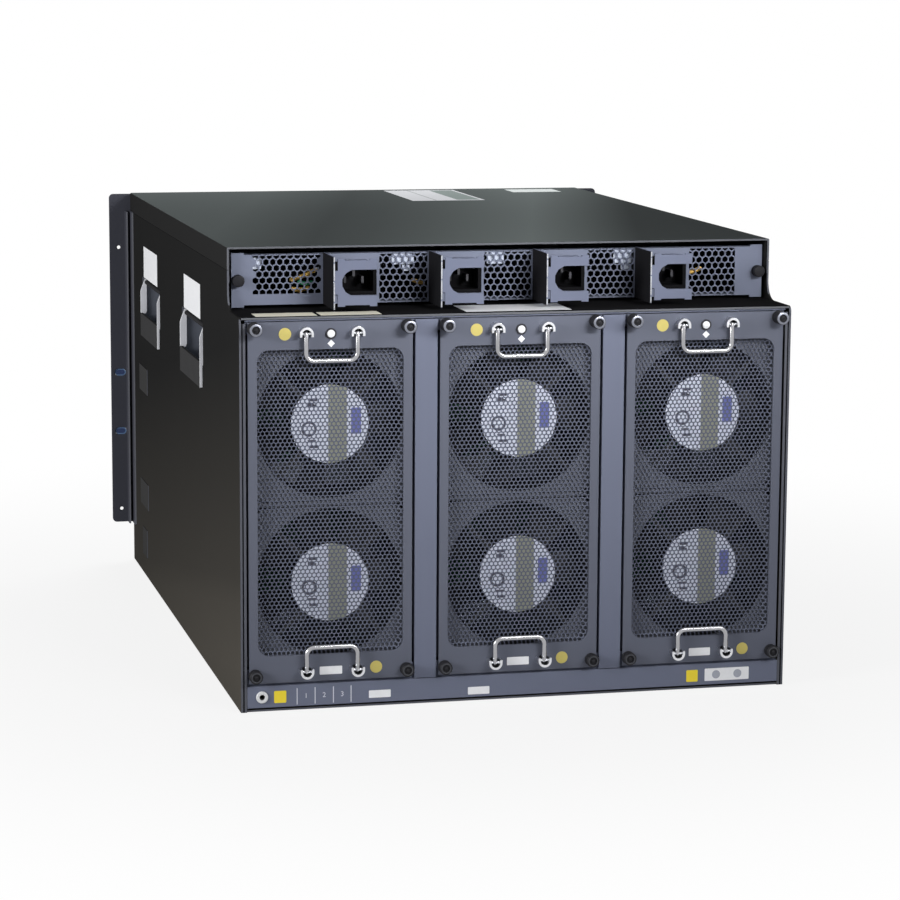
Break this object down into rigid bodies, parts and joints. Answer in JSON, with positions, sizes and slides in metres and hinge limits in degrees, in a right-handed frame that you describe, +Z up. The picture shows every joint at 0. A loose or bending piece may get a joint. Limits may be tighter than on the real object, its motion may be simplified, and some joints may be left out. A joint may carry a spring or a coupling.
{
  "type": "modular chassis switch",
  "caption": "Rack chassis switch seen from its service side: fan trays behind perforated guards with fold-out handles, power inlets with cord brackets above a cord ledge.",
  "frame": {"origin": "centre of the underside of the case, on the surface it rests on", "axes": "+Z up, -Y the service side with the fan trays, +Y the side with the rack ears and cards, +X to the right seen from the service side"},
  "size_m": [0.4826, 0.6605, 0.3556],
  "materials": {
    "black_paint": "fine textured black powder coat",
    "plated_steel": "zinc plated, satin",
    "chrome_steel": "polished",
    "zinc": "bare galvanised sheet",
    "screw_black": "blackened, knurled",
    "black_plastic": "moulded, matt",
    "socket_plastic": "white, smooth",
    "board": "solder-mask green",
    "card_grey": "powder coat",
    "supply_steel": "powder coat"
  },
  "bodies": {
    "chassis": {"base_pan": "black_paint", "left_side_panel": "black_paint", "right_side_panel": "black_paint", "top_cover": "black_paint", "power_shelf": "black_paint", "rear_frame": "black_paint", "earth_socket": "socket_plastic", "left_rack_ear": "black_paint", "right_rack_ear": "black_paint", "power_panel": "black_paint", "power_panel_screws": "screw_black", "cord_brackets": "black_paint", "power_inlets": "black_plastic", "card_cage": "zinc", "midplane": "board", "handle_cups": "zinc"},
    "left_handle_1": {"left_handle_1": "plated_steel"},
    "right_handle_1": {"right_handle_1": "plated_steel"},
    "left_handle_2": {"left_handle_2": "plated_steel"},
    "right_handle_2": {"right_handle_2": "plated_steel"},
    "fan_tray_1": {"tray_1_panel": "black_paint", "tray_1_grille": "black_paint", "tray_1_housing": "zinc", "tray_1_fan_frames": "black_plastic", "tray_1_handle_posts": "chrome_steel", "tray_1_captive_screws": "screw_black"},
    "tray_1_lower_rotor": {"tray_1_lower_rotor": "black_plastic"},
    "tray_1_upper_rotor": {"tray_1_upper_rotor": "black_plastic"},
    "tray_1_lower_handle": {"tray_1_lower_handle": "chrome_steel"},
    "tray_1_upper_handle": {"tray_1_upper_handle": "chrome_steel"},
    "fan_tray_2": {"tray_2_panel": "black_paint", "tray_2_grille": "black_paint", "tray_2_housing": "zinc", "tray_2_fan_frames": "black_plastic", "tray_2_handle_posts": "chrome_steel", "tray_2_captive_screws": "screw_black"},
    "tray_2_lower_rotor": {"tray_2_lower_rotor": "black_plastic"},
    "tray_2_upper_rotor": {"tray_2_upper_rotor": "black_plastic"},
    "tray_2_lower_handle": {"tray_2_lower_handle": "chrome_steel"},
    "tray_2_upper_handle": {"tray_2_upper_handle": "chrome_steel"},
    "fan_tray_3": {"tray_3_panel": "black_paint", "tray_3_grille": "black_paint", "tray_3_housing": "zinc", "tray_3_fan_frames": "black_plastic", "tray_3_handle_posts": "chrome_steel", "tray_3_captive_screws": "screw_black"},
    "tray_3_lower_rotor": {"tray_3_lower_rotor": "black_plastic"},
    "tray_3_upper_rotor": {"tray_3_upper_rotor": "black_plastic"},
    "tray_3_lower_handle": {"tray_3_lower_handle": "chrome_steel"},
    "tray_3_upper_handle": {"tray_3_upper_handle": "chrome_steel"},
    "card_1": {"card_1": "card_grey"},
    "card_2": {"card_2": "card_grey"},
    "card_3": {"card_3": "card_grey"},
    "card_4": {"card_4": "card_grey"},
    "card_5": {"card_5": "card_grey"},
    "card_6": {"card_6": "card_grey"},
    "power_supply_1": {"power_supply_1": "supply_steel"},
    "power_supply_2": {"power_supply_2": "supply_steel"},
    "power_supply_3": {"power_supply_3": "supply_steel"},
    "power_supply_4": {"power_supply_4": "supply_steel"}
  },
  "joints": [
    {"name": "left_handle_1_fold", "type": "hinge", "parent": "chassis", "child": "left_handle_1", "pos_m": [-0.2175, -0.0772, 0.2785], "axis": [0, 1, 0], "range_deg": [0, 90]},
    {"name": "right_handle_1_fold", "type": "hinge", "parent": "chassis", "child": "right_handle_1", "pos_m": [0.2175, -0.0772, 0.2785], "axis": [0, -1, 0], "range_deg": [0, 90]},
    {"name": "left_handle_2_fold", "type": "hinge", "parent": "chassis", "child": "left_handle_2", "pos_m": [-0.2175, 0.173, 0.2785], "axis": [0, 1, 0], "range_deg": [0, 90]},
    {"name": "right_handle_2_fold", "type": "hinge", "parent": "chassis", "child": "right_handle_2", "pos_m": [0.2175, 0.173, 0.2785], "axis": [0, -1, 0], "range_deg": [0, 90]},
    {"name": "fan_tray_1_slide", "type": "slide", "parent": "chassis", "child": "fan_tray_1", "axis": [0, -1, 0], "range_m": [0, 0.18]},
    {"name": "tray_1_lower_rotor_spin", "type": "hinge", "parent": "fan_tray_1", "child": "tray_1_lower_rotor", "pos_m": [-0.1498, -0.288, 0.0987], "axis": [0, 1, 0], "continuous": true},
    {"name": "tray_1_upper_rotor_spin", "type": "hinge", "parent": "fan_tray_1", "child": "tray_1_upper_rotor", "pos_m": [-0.1498, -0.288, 0.2227], "axis": [0, 1, 0], "continuous": true},
    {"name": "tray_1_lower_handle_fold", "type": "hinge", "parent": "fan_tray_1", "child": "tray_1_lower_handle", "pos_m": [-0.1502, -0.3176, 0.0312], "axis": [1, 0, 0], "range_deg": [0, 90]},
    {"name": "tray_1_upper_handle_fold", "type": "hinge", "parent": "fan_tray_1", "child": "tray_1_upper_handle", "pos_m": [-0.1502, -0.3176, 0.2944], "axis": [-1, 0, 0], "range_deg": [0, 90]},
    {"name": "fan_tray_2_slide", "type": "slide", "parent": "chassis", "child": "fan_tray_2", "axis": [0, -1, 0], "range_m": [0, 0.18]},
    {"name": "tray_2_lower_rotor_spin", "type": "hinge", "parent": "fan_tray_2", "child": "tray_2_lower_rotor", "pos_m": [0.0004, -0.288, 0.0987], "axis": [0, 1, 0], "continuous": true},
    {"name": "tray_2_upper_rotor_spin", "type": "hinge", "parent": "fan_tray_2", "child": "tray_2_upper_rotor", "pos_m": [0.0004, -0.288, 0.2227], "axis": [0, 1, 0], "continuous": true},
    {"name": "tray_2_lower_handle_fold", "type": "hinge", "parent": "fan_tray_2", "child": "tray_2_lower_handle", "pos_m": [0, -0.3176, 0.0312], "axis": [1, 0, 0], "range_deg": [0, 90]},
    {"name": "tray_2_upper_handle_fold", "type": "hinge", "parent": "fan_tray_2", "child": "tray_2_upper_handle", "pos_m": [0, -0.3176, 0.2944], "axis": [-1, 0, 0], "range_deg": [0, 90]},
    {"name": "fan_tray_3_slide", "type": "slide", "parent": "chassis", "child": "fan_tray_3", "axis": [0, -1, 0], "range_m": [0, 0.18]},
    {"name": "tray_3_lower_rotor_spin", "type": "hinge", "parent": "fan_tray_3", "child": "tray_3_lower_rotor", "pos_m": [0.1506, -0.288, 0.0987], "axis": [0, 1, 0], "continuous": true},
    {"name": "tray_3_upper_rotor_spin", "type": "hinge", "parent": "fan_tray_3", "child": "tray_3_upper_rotor", "pos_m": [0.1506, -0.288, 0.2227], "axis": [0, 1, 0], "continuous": true},
    {"name": "tray_3_lower_handle_fold", "type": "hinge", "parent": "fan_tray_3", "child": "tray_3_lower_handle", "pos_m": [0.1502, -0.3176, 0.0312], "axis": [1, 0, 0], "range_deg": [0, 90]},
    {"name": "tray_3_upper_handle_fold", "type": "hinge", "parent": "fan_tray_3", "child": "tray_3_upper_handle", "pos_m": [0.1502, -0.3176, 0.2944], "axis": [-1, 0, 0], "range_deg": [0, 90]},
    {"name": "card_1_slide", "type": "slide", "parent": "chassis", "child": "card_1", "axis": [0, 1, 0], "range_m": [0, 0.42]},
    {"name": "card_2_slide", "type": "slide", "parent": "chassis", "child": "card_2", "axis": [0, 1, 0], "range_m": [0, 0.42]},
    {"name": "card_3_slide", "type": "slide", "parent": "chassis", "child": "card_3", "axis": [0, 1, 0], "range_m": [0, 0.42]},
    {"name": "card_4_slide", "type": "slide", "parent": "chassis", "child": "card_4", "axis": [0, 1, 0], "range_m": [0, 0.42]},
    {"name": "card_5_slide", "type": "slide", "parent": "chassis", "child": "card_5", "axis": [0, 1, 0], "range_m": [0, 0.42]},
    {"name": "card_6_slide", "type": "slide", "parent": "chassis", "child": "card_6", "axis": [0, 1, 0], "range_m": [0, 0.42]},
    {"name": "power_supply_1_slide", "type": "slide", "parent": "chassis", "child": "power_supply_1", "axis": [0, 1, 0], "range_m": [0, 0.37]},
    {"name": "power_supply_2_slide", "type": "slide", "parent": "chassis", "child": "power_supply_2", "axis": [0, 1, 0], "range_m": [0, 0.37]},
    {"name": "power_supply_3_slide", "type": "slide", "parent": "chassis", "child": "power_supply_3", "axis": [0, 1, 0], "range_m": [0, 0.37]},
    {"name": "power_supply_4_slide", "type": "slide", "parent": "chassis", "child": "power_supply_4", "axis": [0, 1, 0], "range_m": [0, 0.37]}
  ]
}
